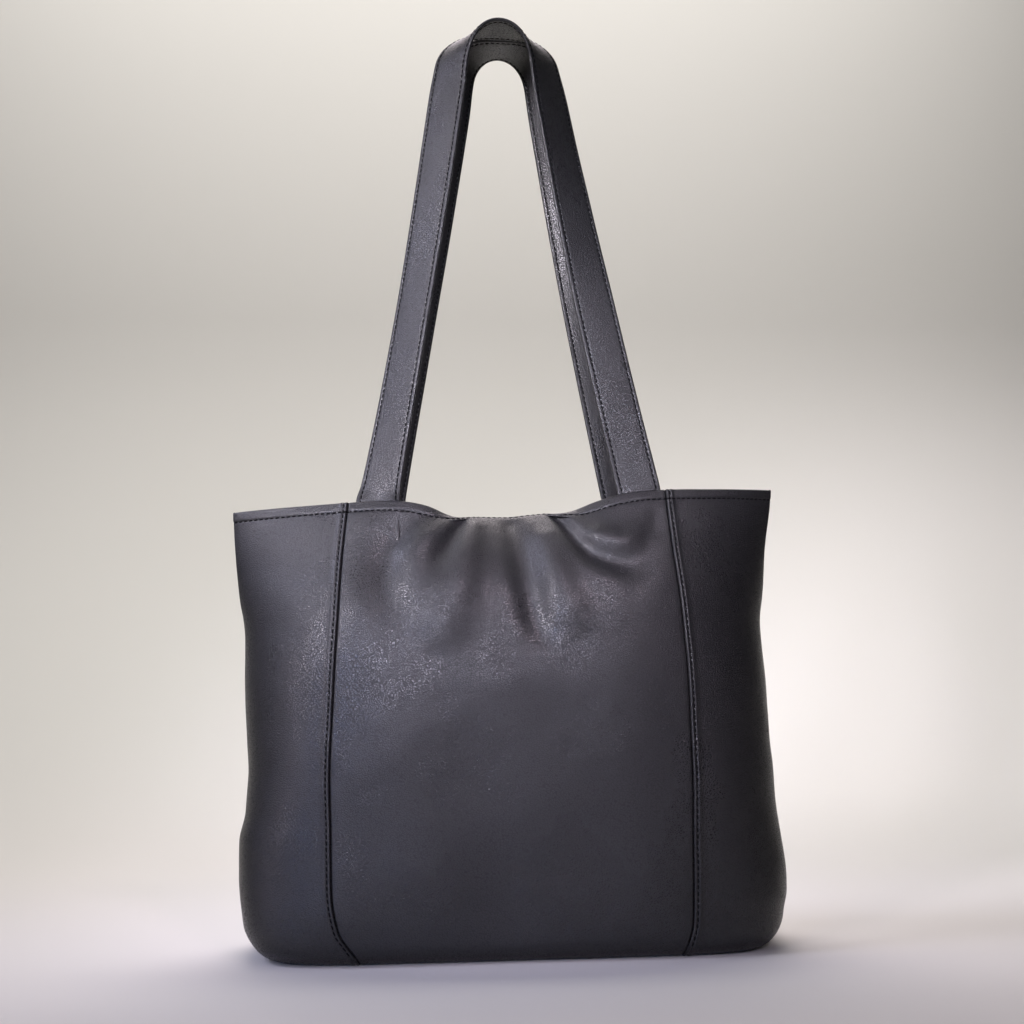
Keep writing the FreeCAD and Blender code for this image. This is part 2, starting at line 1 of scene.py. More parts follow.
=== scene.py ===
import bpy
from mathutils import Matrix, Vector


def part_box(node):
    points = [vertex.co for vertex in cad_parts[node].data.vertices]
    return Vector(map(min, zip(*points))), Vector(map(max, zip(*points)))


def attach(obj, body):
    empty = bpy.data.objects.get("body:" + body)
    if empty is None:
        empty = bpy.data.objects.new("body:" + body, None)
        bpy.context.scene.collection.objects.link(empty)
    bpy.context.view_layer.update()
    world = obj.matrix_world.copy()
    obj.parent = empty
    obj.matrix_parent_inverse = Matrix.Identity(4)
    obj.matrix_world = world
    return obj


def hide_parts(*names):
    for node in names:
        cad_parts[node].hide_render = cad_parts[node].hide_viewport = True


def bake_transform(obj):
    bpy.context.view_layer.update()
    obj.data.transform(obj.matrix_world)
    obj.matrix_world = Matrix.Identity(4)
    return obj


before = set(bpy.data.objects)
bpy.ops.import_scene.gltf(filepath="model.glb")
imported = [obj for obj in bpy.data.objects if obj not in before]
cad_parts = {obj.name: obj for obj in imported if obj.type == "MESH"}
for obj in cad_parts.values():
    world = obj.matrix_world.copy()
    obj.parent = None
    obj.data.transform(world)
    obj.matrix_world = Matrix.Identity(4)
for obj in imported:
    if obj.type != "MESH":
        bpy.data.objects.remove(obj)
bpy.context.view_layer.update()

import math

import bpy
import numpy as np
from mathutils import Matrix, Vector

# A soft leather tote carried as a diaper bag. Lengths here are in millimetres in the
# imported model's frame (+Z up, -Y to the front), and turn into metres as meshes are made.
MM = 0.001
FRONT, BACK = -1.0, 1.0


def cad(node, corner, axis):
    """One coordinate of a CAD node's box, in millimetres."""
    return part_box(node)[corner]["xyz".index(axis)] / MM


RIM = cad("front_left_panel", 1, "z")
HALF_WIDTH = cad("front_right_panel", 1, "x")
STRAP_TOP = cad("front_strap_outer", 1, "z")
STRAP_WIDTH = cad("front_left_strap_tail", 1, "x") - cad("front_left_strap_tail", 0, "x")
STRAP_ROOT = cad("front_right_strap_tail", 1, "x") - STRAP_WIDTH / 2
SNAP_HEIGHT = (cad("back_snap_stud", 0, "z") + cad("back_snap_stud", 1, "z")) / 2
# Leather thickness, radius of the rolled rim and distance from stitch to stitch.
LEATHER = 1.3
EDGE_ROLL = 1.5
PITCH = 4.4
# Rim stitches below the rim, seam stitches from their edge, and the base above the floor.
RIM_STITCH_DROP, SEAM_STITCH_GAP = 6.5, 2.9
BASE_LIFT = 0.25


# ---------------------------------------------------------------- small numeric helpers
def curve(knots, values):
    """Smooth curve through points that doesn't overshoot, as a function of an array."""
    k, v = np.array(knots, float), np.array(values, float)
    step = np.diff(k)
    slope = np.diff(v) / step
    tangent = np.zeros_like(v)
    same = slope[:-1] * slope[1:] > 0
    total = np.where(same, slope[:-1] + slope[1:], 1.0)
    tangent[1:-1] = np.where(same, 2 * slope[:-1] * slope[1:] / total, 0.0)
    tangent[0], tangent[-1] = slope[0], slope[-1]

    def at(x):
        x = np.clip(np.asarray(x, float), k[0], k[-1])
        i = np.clip(np.searchsorted(k, x, side="right") - 1, 0, len(k) - 2)
        u = (x - k[i]) / step[i]
        return (v[i] * (1 + 2 * u) * (1 - u) ** 2 + v[i + 1] * u * u * (3 - 2 * u)
                + step[i] * u * (1 - u) * (tangent[i] * (1 - u) - tangent[i + 1] * u))
    return at


def ease(x, low, high):
    """Smooth step from 0 at low to 1 at high."""
    u = np.clip((np.asarray(x, float) - low) / (high - low), 0.0, 1.0)
    return u * u * (3 - 2 * u)


def bell(x, width):
    return np.exp(-(np.asarray(x, float) / width) ** 2)


def unit(v):
    return v / np.maximum(np.linalg.norm(v, axis=-1, keepdims=True), 1e-9)


def ripple(x, z, seed, size, amount, count=7):
    """Broad seeded waves over a wall: count sines with wavelengths about size."""
    rng = np.random.default_rng(seed)
    total = np.zeros(np.broadcast(x, z).shape)
    for _ in range(count):
        angle = rng.uniform(0, math.pi)
        length = size * rng.uniform(0.7, 1.5)
        phase = rng.uniform(0, 2 * math.pi)
        total += np.sin((x * math.cos(angle) + z * math.sin(angle)) * 2 * math.pi / length + phase)
    return total * amount / math.sqrt(count)


# ---------------------------------------------------------------- the bag's outer form
HEIGHTS = [0, 10, 25, 42, 58, 83, 105, 130, 156, 192, 236, 265, 301, 322, RIM]
left_reach = curve(HEIGHTS, [196, 196, 198.5, 201.5, 202.7, 202.3, 198.3, 197.7, 199.9, 201.4, 203,
                             206.9, 210.3, 212.5, 213.2])
right_reach = curve(HEIGHTS, [200, 199, 200, 204.5, 205.7, 204.5, 202.6, 201.7, 200.1, 200, 198,
                              203, 207.8, 211.3, 212.6])
DEPTH_HEIGHTS = [0, 30, 120, 190, 235, 268, 292, 315, RIM]
wall_depth = curve(DEPTH_HEIGHTS, [72, 74, 74, 73.5, 70.5, 65.5, 58, 49.5, 39.5])
squareness = curve(DEPTH_HEIGHTS, [7.5, 6.0, 4.4, 3.8, 3.4, 3.0, 2.7, 2.5, 2.4])
sharpness = curve(DEPTH_HEIGHTS, [0.24, 0.27, 0.4, 0.5, 0.6, 0.7, 0.8, 0.86, 0.9])
PINCH_ROWS = [0, 190, 236, 265, 290, 305, 315, 323, 331, RIM]
pinch_depth = curve(PINCH_ROWS, [72, 73, 68, 60.5, 48.5, 38.5, 31, 24, 15.5, 8.0])
pinch_height = curve(PINCH_ROWS, [0, 190, 236, 265, 289.5, 303.5, 312, 318.5, 323.5, 323])
PINCH_WIDTH = 43.0
RIM_SLOPE = 0.040
CORNER_SIDE, CORNER_FRONT = 27.0, 15.0


def corner_inset(height, radius):
    """How far the wall draws in near the base, as a quarter round."""
    share = np.clip(1 - np.asarray(height, float) / radius, 0.0, 1.0)
    return radius * (1 - np.sqrt(1 - share * share))


def reach_at(height, x):
    reach = np.where(x < 0, left_reach(height), right_reach(height))
    return reach - corner_inset(height, CORNER_SIDE)


def depth_at(x, height):
    """Depth of the wall in front of the middle plane."""
    across = np.clip(np.abs(x) / reach_at(height, x), 0.0, 1.0)
    depth = wall_depth(height) - corner_inset(height, CORNER_FRONT)
    full = depth * (1 - across ** squareness(height)) ** sharpness(height)
    pinch = bell(x, PINCH_WIDTH) * (1 - pinch_depth(height) / wall_depth(height))
    return full * (1 - np.clip(pinch, 0.0, 1.0))


def height_at(x, row):
    """Height of a row of the wall: the rim dips towards the snap and folds over behind it."""
    fold = np.exp(-(np.abs(x) / 50.0) ** 6)
    dip = 17.0 * np.exp(-(np.abs(x) / np.where(x < 0, 60.0, 72.0)) ** 3) * ease(row, 265.0, RIM)
    slope = RIM_SLOPE * x * ease(row, 180.0, RIM)
    return row + (pinch_height(row) - row) * fold - dip * (1 - fold) + slope


def wall_point(x, row):
    """Points of the plain wall in front, and its outward normals, at any x and row."""
    def place(px, prow):
        return np.stack([px, -depth_at(px, prow), height_at(px, prow)], axis=-1)
    step = 0.5
    normal = np.cross(place(x + step, row) - place(x - step, row),
                      place(x, row + step) - place(x, row - step))
    normal = unit(normal)
    return place(x, row), normal * np.where(normal[..., 1:2] > 0, -1.0, 1.0)


SEAM_HEIGHTS = [0, 9, 24, 51, 90, 131, 187, 246, 293, RIM]
left_seam = curve(SEAM_HEIGHTS, [112, 117, 127, 132, 133, 134, 132, 129, 127, 123])
right_seam = curve(SEAM_HEIGHTS, [116, 119, 123, 124.5, 125.5, 127, 127, 125, 122, 121])

# Creases of a face: points (x, height), depths (+ hollows, - raises) and half widths.
FRONT_CREASES = [
    ([(-71, 331), (-88, 305), (-96, 277), (-86, 244), (-76, 221)],
     [2, 6.5, 5.5, 2.5, 0], [11, 14, 15, 18, 20]),
    ([(-53, 321), (-68, 307), (-79, 296)], [-1.5, -3, -3], [8, 10, 12]),
    ([(-38, 322), (-47, 304), (-55, 289), (-61, 265)], [3, 4, 2, 0], [5.5, 7.5, 9, 13]),
    ([(-28, 318), (-38, 277), (-51, 242), (-60, 215)], [-2, -3.5, -3.5, 0], [10, 14, 18, 22]),
    ([(2, 320), (8, 285), (14, 248), (22, 216)], [4.5, 6, 5.5, 0], [9, 11, 11, 8]),
    ([(26, 304), (32, 275), (38, 252), (50, 226)], [-2.5, -4, -4, 0], [9, 12, 15, 18]),
    ([(36, 327), (48, 308), (61, 292), (78, 284), (94, 279)], [5, 6.5, 6, 4.5, 1], [5, 7.5, 9, 11, 13]),
    ([(64, 309), (84, 297), (103, 298)], [-3, -3, -2], [8, 13, 15]),
    ([(112, 318), (107, 303), (94, 283), (80, 262)], [1.5, 3, 2.5, 0], [8, 11, 13, 16]),
]
BACK_CREASES = [
    ([(-38, 325), (-60, 300), (-86, 262)], [4.5, 5.0, 0.0], [7, 11, 14]),
    ([(-14, 320), (-24, 280), (-30, 236)], [-2.0, -4.0, 0.0], [10, 15, 18]),
    ([(2, 322), (-4, 284), (4, 232)], [4.0, 5.0, 0.0], [8, 12, 14]),
    ([(20, 320), (34, 280), (48, 232)], [-2.0, -4.0, 0.0], [10, 15, 18]),
    ([(44, 326), (66, 302), (92, 286)], [5.0, 5.0, 0.0], [6, 10, 12]),
]


def crease_field(creases, x, z):
    """Inward depth of all the creases over a wall, from the nearest point of each."""
    total = np.zeros(x.shape)
    for points, depths, widths in creases:
        knots = np.linspace(0, 1, len(points))
        fine = np.linspace(0, 1, 48)
        px = curve(knots, [p[0] for p in points])(fine)
        pz = curve(knots, [p[1] for p in points])(fine)
        depth, width = curve(knots, depths)(fine), curve(knots, widths)(fine)
        gap = np.hypot(x[..., None] - px, z[..., None] - pz)
        near = gap.argmin(axis=-1)
        nearest = np.take_along_axis(gap, near[..., None], -1)[..., 0]
        ratio = nearest / width[near]
        total += depth[near] * (np.exp(-ratio ** 2) - 0.22 * np.exp(-(ratio / 2.1) ** 2))
    return total


# ---------------------------------------------------------------- grids over the form
def wall_rows():
    """Heights of the rows from the base's edge to the rim, finer at both ends."""
    turn = CORNER_SIDE * (1 - np.cos(np.linspace(0, math.pi / 2, 15)))
    rise = np.arange(CORNER_SIDE + 2.2, RIM - 12, 2.2)
    top = RIM - np.array([10.5, 9, 7.7, 7.1, 6.5, 5.9, 5.2, 4.0, 2.6, 1.4, 0.6, 0.0])
    return np.concatenate([turn, rise, top])


ROWS = wall_rows()
RIM_STITCH_ROW = int(np.argmin(np.abs(ROWS - (RIM - RIM_STITCH_DROP))))
BASE_ROWS = np.linspace(0.0, 1.0, 14)[:-1]
DENSE = 900


def section(height, low, high):
    """Dense plan curve of the wall between two x, with its running length."""
    x = low + (high - low) * (1 - np.cos(np.linspace(0, math.pi, DENSE))) / 2
    y = depth_at(x, height)
    run = np.concatenate([[0.0], np.cumsum(np.hypot(np.diff(x), np.diff(y)))])
    return x, y, run


def columns(start, end, count, length):
    """Distances from the first edge: fixed ones near both edges, even ones between."""
    last = length - np.array(end[::-1])
    middle = np.linspace(start[-1], last[0], count + 2)[1:-1]
    return np.concatenate([start, middle, last])


def panel_grid(low_edge, high_edge, start, end, count):
    """Plan points of a panel on every row: x, y and distances to both edges."""
    xs, ys, lows, highs = [], [], [], []
    for height in ROWS:
        x, y, run = section(height, low_edge(height), high_edge(height))
        at = columns(start, end, count, run[-1])
        xs.append(np.interp(at, run, x))
        ys.append(np.interp(at, run, y))
        lows.append(at)
        highs.append(run[-1] - at)
    return [np.array(a) for a in (xs, ys, lows, highs)]


def grid_normals(points, outward):
    """Unit normals of a grid of points, turned to agree with a rough outward guess."""
    across = np.gradient(points, axis=1)
    along = np.gradient(points, axis=0)
    normal = unit(np.cross(across, along))
    flip = np.sign(np.sum(normal * outward, axis=(0, 1)).sum()) or 1.0
    return normal * flip


SEAM_NEAR = [0, 0.3, 0.65, 1.05, 1.6, 2.1, 2.5, 2.9, 3.3, 3.8, 4.4, 5.2, 6.4, 8.2, 10.5]
PLAIN_NEAR = [0, 0.35, 0.8, 1.3, 2.0, 3.0, 4.4, 6.4, 9.0]
SEAM_STITCH_COLUMN = SEAM_NEAR.index(SEAM_STITCH_GAP)


def flat_edge(gap):
    """Centre panel and side seams: the edge turns down into the seam."""
    return -1.0 * bell(gap, 0.6) - 0.25 * bell(gap, 2.2)


def stitched_edge(gap):
    """Side panels: the edge turns down, stands up over the allowance and is stitched down."""
    ridge = 0.7 * ease(gap, 0.0, 1.0) * (1 - ease(gap, 4.4, 7.5))
    return ridge - 1.0 * bell(gap, 0.45) - 0.55 * bell(gap - SEAM_STITCH_GAP, 0.7)


def soft_shift(x, row, creases, seed):
    """How far the soft wall stands out of its plain form: creases and slow waves."""
    quiet_rim = 1 - 0.75 * ease(row, RIM - 12, RIM)
    shift = -crease_field(creases, x, row) * quiet_rim
    rise = ease(row, 4.0, 40.0)
    shift += ripple(x, row, seed, 95.0, 0.7) * rise * (1 - ease(row, RIM - 30, RIM))
    return shift + ripple(x, row, seed + 1, 34.0, 0.09) * rise


def panel_points(side, creases, seed, low_edge, high_edge, start, end, count, low_profile, high_profile):
    """Outer face of one leather panel, from the middle of the base up and over the rim."""
    x, y, low, high = panel_grid(low_edge, high_edge, start, end, count)
    row = np.repeat(ROWS[:, None], x.shape[1], axis=1)
    z = height_at(x, row)
    wall = np.stack([x, -y, z], axis=-1)
    outward = grid_normals(wall, np.array([0.0, -1.0, 0.1]))
    shift = soft_shift(x, row, creases, seed)
    band = ease(row, RIM - 8.2, RIM - 5.2)
    shift += 0.55 * band - 0.55 * bell(row - (RIM - RIM_STITCH_DROP), 0.7)
    shift += low_profile(low) + high_profile(high)
    wall = wall + outward * shift[..., None]
    taper = (np.abs(wall[0, :, 0]) / HALF_WIDTH) ** 8
    base = [np.stack([wall[0, :, 0] * (1 - 0.03 * (1 - k) * taper), wall[0, :, 1] * k,
                      np.full(x.shape[1], BASE_LIFT)], axis=-1) for k in BASE_ROWS]
    up = unit(wall[-1] - wall[-3])
    out = unit(outward[-1] - up * np.sum(outward[-1] * up, axis=-1, keepdims=True))
    roll = []
    for angle in np.linspace(0, math.pi, 9)[1:]:
        roll.append(wall[-1] + EDGE_ROLL * (math.sin(angle) * up - (1 - math.cos(angle)) * out))
    for drop in (2.0, 5.0, 9.0):
        roll.append(roll[7] - up * drop)
    points = np.concatenate([np.array(base), wall, np.array(roll)])
    points[..., 2] = np.maximum(points[..., 2], BASE_LIFT)
    points[..., 1] = np.minimum(points[..., 1], -0.15)
    points[..., 1] *= -side
    return points


# ---------------------------------------------------------------- meshes
def make_object(name, vertices, faces, material, smooth=True):
    mesh = bpy.data.meshes.new(name)
    mesh.from_pydata([], [], [])
    vertices = np.asarray(vertices, float) * MM
    faces = np.asarray(faces, int)
    mesh.vertices.add(len(vertices))
    mesh.vertices.foreach_set("co", vertices.astype(np.float32).ravel())
    size = faces.shape[1]
    mesh.loops.add(faces.size)
    mesh.loops.foreach_set("vertex_index", faces.ravel().astype(np.int32))
    mesh.polygons.add(len(faces))
    mesh.polygons.foreach_set("loop_start", np.arange(0, faces.size, size, dtype=np.int32))
    mesh.update(calc_edges=True)
    mesh.validate()
    mesh.polygons.foreach_set("use_smooth", np.full(len(mesh.polygons), smooth))
    mesh.materials.append(material)
    obj = bpy.data.objects.new(name, mesh)
    bpy.context.scene.collection.objects.link(obj)
    return obj


def grid_faces(rows, cols, around=False, flip=False, offset=0):
    """Quads of a grid of vertices; around joins the last column to the first."""
    r = np.arange(rows - 1)[:, None]
    c = np.arange(cols if around else cols - 1)[None, :]
    d = (c + 1) % cols
    quads = np.stack(np.broadcast_arrays(r * cols + c, r * cols + d, (r + 1) * cols + d,
                                         (r + 1) * cols + c), axis=-1).reshape(-1, 4)
    return (quads[:, ::-1] if flip else quads) + offset


def sheet_object(name, points, material, flip, thickness):
    """Surface from a grid of points, given a thickness towards the inside."""
    rows, cols = points.shape[:2]
    obj = make_object(name, points.reshape(-1, 3), grid_faces(rows, cols, flip=flip), material)
    solid = obj.modifiers.new("thickness", "SOLIDIFY")
    solid.thickness = thickness * MM
    solid.offset = -1.0
    return obj


def capsule(length, radius):
    """A stitch along +X: a rounded rod of quads, sunk at both ends."""
    ring = np.linspace(0, 2 * math.pi, 9)[:-1]
    stations = [(-1.0, 0.15, -0.5), (-0.93, 0.7, -0.28), (-0.6, 1.0, 0.0), (0.0, 1.06, 0.12),
                (0.6, 1.0, 0.0), (0.93, 0.7, -0.28), (1.0, 0.15, -0.5)]
    vertices = [(length / 2 * s, radius * r * math.cos(a), radius * (r * math.sin(a) + h))
                for s, r, h in stations for a in ring]
    return np.array(vertices), grid_faces(len(stations), len(ring), around=True)


def stitch_line(name, path, normals, material, pitch=PITCH, radius=0.55, lift=0.12, slant=0.1, seed=5):
    """Row of separate thread stitches along a path that lies on a surface."""
    run = np.concatenate([[0.0], np.cumsum(np.linalg.norm(np.diff(path, axis=0), axis=1))])
    count = int(run[-1] // pitch)
    rng = np.random.default_rng(seed)
    at = (np.arange(count) + 0.5) * run[-1] / count + rng.uniform(-0.12, 0.12, count)
    place = np.stack([np.interp(at, run, path[:, i]) for i in range(3)], axis=-1)
    ahead = np.stack([np.interp(at + 1.2, run, path[:, i]) for i in range(3)], axis=-1)
    behind = np.stack([np.interp(at - 1.2, run, path[:, i]) for i in range(3)], axis=-1)
    up = unit(np.stack([np.interp(at, run, normals[:, i]) for i in range(3)], axis=-1))
    along = unit(ahead - behind)
    aside = unit(np.cross(up, along))
    turned = slant + rng.uniform(-0.05, 0.05, count)
    along = unit(along + aside * turned[:, None])
    aside = unit(np.cross(up, along))
    up = np.cross(along, aside)
    shape, faces = capsule(pitch * 0.74, radius)
    vertices = (place[:, None] + along[:, None] * shape[None, :, :1]
                + aside[:, None] * shape[None, :, 1:2] + up[:, None] * (shape[None, :, 2:3] + lift))
    every = (faces[None] + (np.arange(count) * len(shape))[:, None, None]).reshape(-1, 4)
    return make_object(name, vertices.reshape(-1, 3), every, material)


# ---------------------------------------------------------------- materials
def new_material(name):
    material = bpy.data.materials.new(name)
    material.use_nodes = True
    nodes = material.node_tree.nodes
    shader = nodes["Principled BSDF"]
    return material, nodes, material.node_tree.links, shader


def node(nodes, kind, **values):
    made = nodes.new(kind)
    for key, value in values.items():
        if hasattr(made, key):
            setattr(made, key, value)
        else:
            made.inputs[key.replace("_", " ")].default_value = value
    return made


def maths(nodes, links, operation, a, b=None):
    made = nodes.new("ShaderNodeMath")
    made.operation = operation
    for i, value in enumerate((a, b)):
        if value is None:
            continue
        if isinstance(value, (int, float)):
            made.inputs[i].default_value = value
        else:
            links.new(value, made.inputs[i])
    return made.outputs[0]


def remap(nodes, links, value, low, high, to_low, to_high):
    made = nodes.new("ShaderNodeMapRange")
    made.interpolation_type = "SMOOTHSTEP"
    links.new(value, made.inputs["Value"])
    for key, number in (("From Min", low), ("From Max", high), ("To Min", to_low), ("To Max", to_high)):
        made.inputs[key].default_value = number
    return made.outputs["Result"]


def warped(nodes, links, scale, amount, size, squeeze=(1.0, 1.0, 1.0)):
    """Object coordinates, pushed about by noise and squeezed, as a vector output."""
    place = node(nodes, "ShaderNodeTexCoord")
    noise = node(nodes, "ShaderNodeTexNoise", Scale=size, Detail=2.0, Roughness=0.5)
    links.new(place.outputs["Object"], noise.inputs["Vector"])
    centred = node(nodes, "ShaderNodeVectorMath", operation="SUBTRACT")
    links.new(noise.outputs["Color"], centred.inputs[0])
    centred.inputs[1].default_value = (0.5, 0.5, 0.5)
    pushed = node(nodes, "ShaderNodeVectorMath", operation="MULTIPLY_ADD")
    links.new(centred.outputs[0], pushed.inputs[0])
    pushed.inputs[1].default_value = (amount, amount, amount)
    links.new(place.outputs["Object"], pushed.inputs[2])
    turned = node(nodes, "ShaderNodeMapping")
    turned.inputs["Scale"].default_value = [scale * s for s in squeeze]
    links.new(pushed.outputs[0], turned.inputs["Vector"])
    return turned.outputs["Vector"]


def leather_material(name, colour, rough_low, rough_high, grain=540.0, relief=0.00015):
    """Pebbled leather: rounded cells between fine creases, with pores and broad wear; the base colour
    carries painted shade, darker in the creases and lighter on the pebble tops.
    """
    material, nodes, links, shader = new_material(name)
    place = warped(nodes, links, grain, 0.0016, 260.0, (1.0, 1.0, 1.22))
    cells = node(nodes, "ShaderNodeTexVoronoi", feature="DISTANCE_TO_EDGE", Scale=1.0, Randomness=1.0)
    links.new(place, cells.inputs["Vector"])
    fine = node(nodes, "ShaderNodeTexVoronoi", feature="DISTANCE_TO_EDGE", Scale=2.3, Randomness=1.0)
    links.new(place, fine.inputs["Vector"])
    tint = node(nodes, "ShaderNodeTexVoronoi", feature="F1", Scale=1.0, Randomness=1.0)
    links.new(place, tint.inputs["Vector"])
    pores = node(nodes, "ShaderNodeTexNoise", Scale=4200.0, Detail=3.0, Roughness=0.6)
    broad = node(nodes, "ShaderNodeTexNoise", Scale=14.0, Detail=4.0, Roughness=0.55)
    coords = node(nodes, "ShaderNodeTexCoord")
    links.new(coords.outputs["Object"], pores.inputs["Vector"])
    links.new(coords.outputs["Object"], broad.inputs["Vector"])
    dome = remap(nodes, links, cells.outputs["Distance"], 0.0, 0.17, 0.0, 1.0)
    wrinkle = remap(nodes, links, fine.outputs["Distance"], 0.0, 0.2, 0.0, 1.0)
    height = maths(nodes, links, "ADD", maths(nodes, links, "MULTIPLY", dome, 0.74),
                   maths(nodes, links, "MULTIPLY", wrinkle, 0.2))
    height = maths(nodes, links, "ADD", height,
                   maths(nodes, links, "MULTIPLY", pores.outputs["Fac"], 0.09))
    bump = node(nodes, "ShaderNodeBump", Strength=0.9, Distance=relief)
    links.new(height, bump.inputs["Height"])
    links.new(bump.outputs["Normal"], shader.inputs["Normal"])
    # Painted shade: the base colour runs from dark (A) in the creases between the pebbles to light (B) on
    # their tops, following the dome height; the cell and broad noises add the leather's own random tone.
    crease_shade_mix = node(nodes, "ShaderNodeMix", data_type="RGBA")
    crease_shade_mix.inputs["A"].default_value = [c * 0.45 for c in colour] + [1.0]
    crease_shade_mix.inputs["B"].default_value = [min(c * 1.3, 1.0) for c in colour] + [1.0]
    crease_shade_and_tone = maths(nodes, links, "MULTIPLY", dome,
                  remap(nodes, links, tint.outputs["Color"], 0.0, 1.0, 0.62, 1.0))
    crease_shade_and_tone = maths(nodes, links, "MULTIPLY", crease_shade_and_tone,
                  remap(nodes, links, broad.outputs["Fac"], 0.3, 0.7, 0.78, 1.0))
    links.new(crease_shade_and_tone, crease_shade_mix.inputs["Factor"])
    links.new(crease_shade_mix.outputs["Result"], shader.inputs["Base Color"])
    worn = remap(nodes, links, broad.outputs["Fac"], 0.3, 0.7, 0.06, -0.04)
    rough = remap(nodes, links, height, 0.2, 1.0, rough_high, rough_low)
    links.new(maths(nodes, links, "ADD", rough, worn), shader.inputs["Roughness"])
    shader.inputs["IOR"].default_value = 1.5
    shader.inputs["Specular IOR Level"].default_value = 0.62
    return material


def thread_material(name, colour, rough=0.55, gloss=0.5):
    material, nodes, links, shader = new_material(name)
    coords = node(nodes, "ShaderNodeTexCoord")
    twist = node(nodes, "ShaderNodeTexWave", wave_type="BANDS", bands_direction="DIAGONAL",
                 Scale=900.0, Distortion=1.5, Detail=1.0)
    links.new(coords.outputs["Object"], twist.inputs["Vector"])
    bump = node(nodes, "ShaderNodeBump", Strength=0.5, Distance=0.0001)
    links.new(twist.outputs["Fac"], bump.inputs["Height"])
    links.new(bump.outputs["Normal"], shader.inputs["Normal"])
    mix = node(nodes, "ShaderNodeMix", data_type="RGBA")
    mix.inputs["A"].default_value = [c * 0.6 for c in colour] + [1.0]
    mix.inputs["B"].default_value = [c * 1.4 for c in colour] + [1.0]
    links.new(twist.outputs["Fac"], mix.inputs["Factor"])
    links.new(mix.outputs["Result"], shader.inputs["Base Color"])
    shader.inputs["Roughness"].default_value = rough
    shader.inputs["Specular IOR Level"].default_value = gloss
    return material


def cloth_material(name, dark, light, count, relief=0.00025, rough=0.85):
    """Plain weave: two crossed waves give the threads, noise gives their unevenness."""
    material, nodes, links, shader = new_material(name)
    place = warped(nodes, links, 1.0, 0.0008, 90.0)
    waves = []
    for direction in ("X", "Z"):
        wave = node(nodes, "ShaderNodeTexWave", wave_type="BANDS", bands_direction=direction,
                    Scale=count, Distortion=0.6, Detail=1.0)
        links.new(place, wave.inputs["Vector"])
        waves.append(wave.outputs["Fac"])
    weave = maths(nodes, links, "MAXIMUM", waves[0], waves[1])
    slub = node(nodes, "ShaderNodeTexNoise", Scale=160.0, Detail=4.0, Roughness=0.6)
    links.new(place, slub.inputs["Vector"])
    mix = node(nodes, "ShaderNodeMix", data_type="RGBA")
    mix.inputs["A"].default_value = [*dark, 1.0]
    mix.inputs["B"].default_value = [*light, 1.0]
    links.new(maths(nodes, links, "MULTIPLY", weave, slub.outputs["Fac"]), mix.inputs["Factor"])
    links.new(mix.outputs["Result"], shader.inputs["Base Color"])
    bump = node(nodes, "ShaderNodeBump", Strength=0.7, Distance=relief)
    links.new(weave, bump.inputs["Height"])
    links.new(bump.outputs["Normal"], shader.inputs["Normal"])
    shader.inputs["Roughness"].default_value = rough
    shader.inputs["Sheen Weight"].default_value = 0.25
    return material


def metal_material(name, colour, rough):
    material, nodes, links, shader = new_material(name)
    coords = node(nodes, "ShaderNodeTexCoord")
    scratch = node(nodes, "ShaderNodeTexNoise", Scale=700.0, Detail=5.0, Roughness=0.65)
    links.new(coords.outputs["Object"], scratch.inputs["Vector"])
    mix = node(nodes, "ShaderNodeMix", data_type="RGBA")
    mix.inputs["A"].default_value = [c * 0.8 for c in colour] + [1.0]
    mix.inputs["B"].default_value = [*colour, 1.0]
    links.new(scratch.outputs["Fac"], mix.inputs["Factor"])
    links.new(mix.outputs["Result"], shader.inputs["Base Color"])
    links.new(remap(nodes, links, scratch.outputs["Fac"], 0.3, 0.7, rough - 0.06, rough + 0.08),
              shader.inputs["Roughness"])
    bump = node(nodes, "ShaderNodeBump", Strength=0.15, Distance=0.00005)
    links.new(scratch.outputs["Fac"], bump.inputs["Height"])
    links.new(bump.outputs["Normal"], shader.inputs["Normal"])
    shader.inputs["Metallic"].default_value = 1.0
    return material


BLACK = (0.0055, 0.0053, 0.0065)
panel_leather = leather_material("panel_leather", BLACK, 0.27, 0.62)
strap_leather = leather_material("strap_leather", BLACK, 0.27, 0.62, grain=560.0)
thread = thread_material("black_thread", (0.0035, 0.0035, 0.004), 0.9, 0.12)
lining_cloth = cloth_material("lining_cloth", (0.20, 0.17, 0.14), (0.42, 0.37, 0.31), 300.0)
tape_cloth = cloth_material("zip_tape_cloth", (0.012, 0.012, 0.013), (0.04, 0.04, 0.043), 700.0)
elastic_cloth = cloth_material("elastic_cloth", (0.012, 0.012, 0.013), (0.05, 0.05, 0.053), 420.0)
nickel = metal_material("satin_nickel", (0.66, 0.64, 0.60), 0.28)
magnet_grey = metal_material("magnet_grey", (0.10, 0.10, 0.10), 0.6)
coil_black = thread_material("zip_coil_black", (0.016, 0.016, 0.018))
board_grey = cloth_material("pressed_board_grey", (0.09, 0.09, 0.09), (0.16, 0.16, 0.16), 120.0,
                            0.00008, 0.7)

# ---------------------------------------------------------------- depths across the mouth, and pieces baked in place
# Depths at the rim given for the leather and for the plies inside it.
LEATHER_LIP, INNER_LIP = (-35.0, -1.5), (-29.0, -4.0)


def lip_blend(obj, first, last):
    """Bake a front piece's placement into its mesh. The two depths at the rim, first and last, are not
    used.
    """
    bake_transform(obj)


def side_name(side):
    return "front" if side == FRONT else "back"


# ---------------------------------------------------------------- leather panels
def keep(obj, node_names, body="bag"):
    """Ride the body, if one is given, and hide the CAD nodes the object stands for."""
    if body:
        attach(obj, body)
    if node_names:
        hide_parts(*node_names)
    return obj


def seam_low(height):
    return -left_seam(height)


def side_low(height):
    return -reach_at(height, -1.0)


def side_high(height):
    return reach_at(height, 1.0)


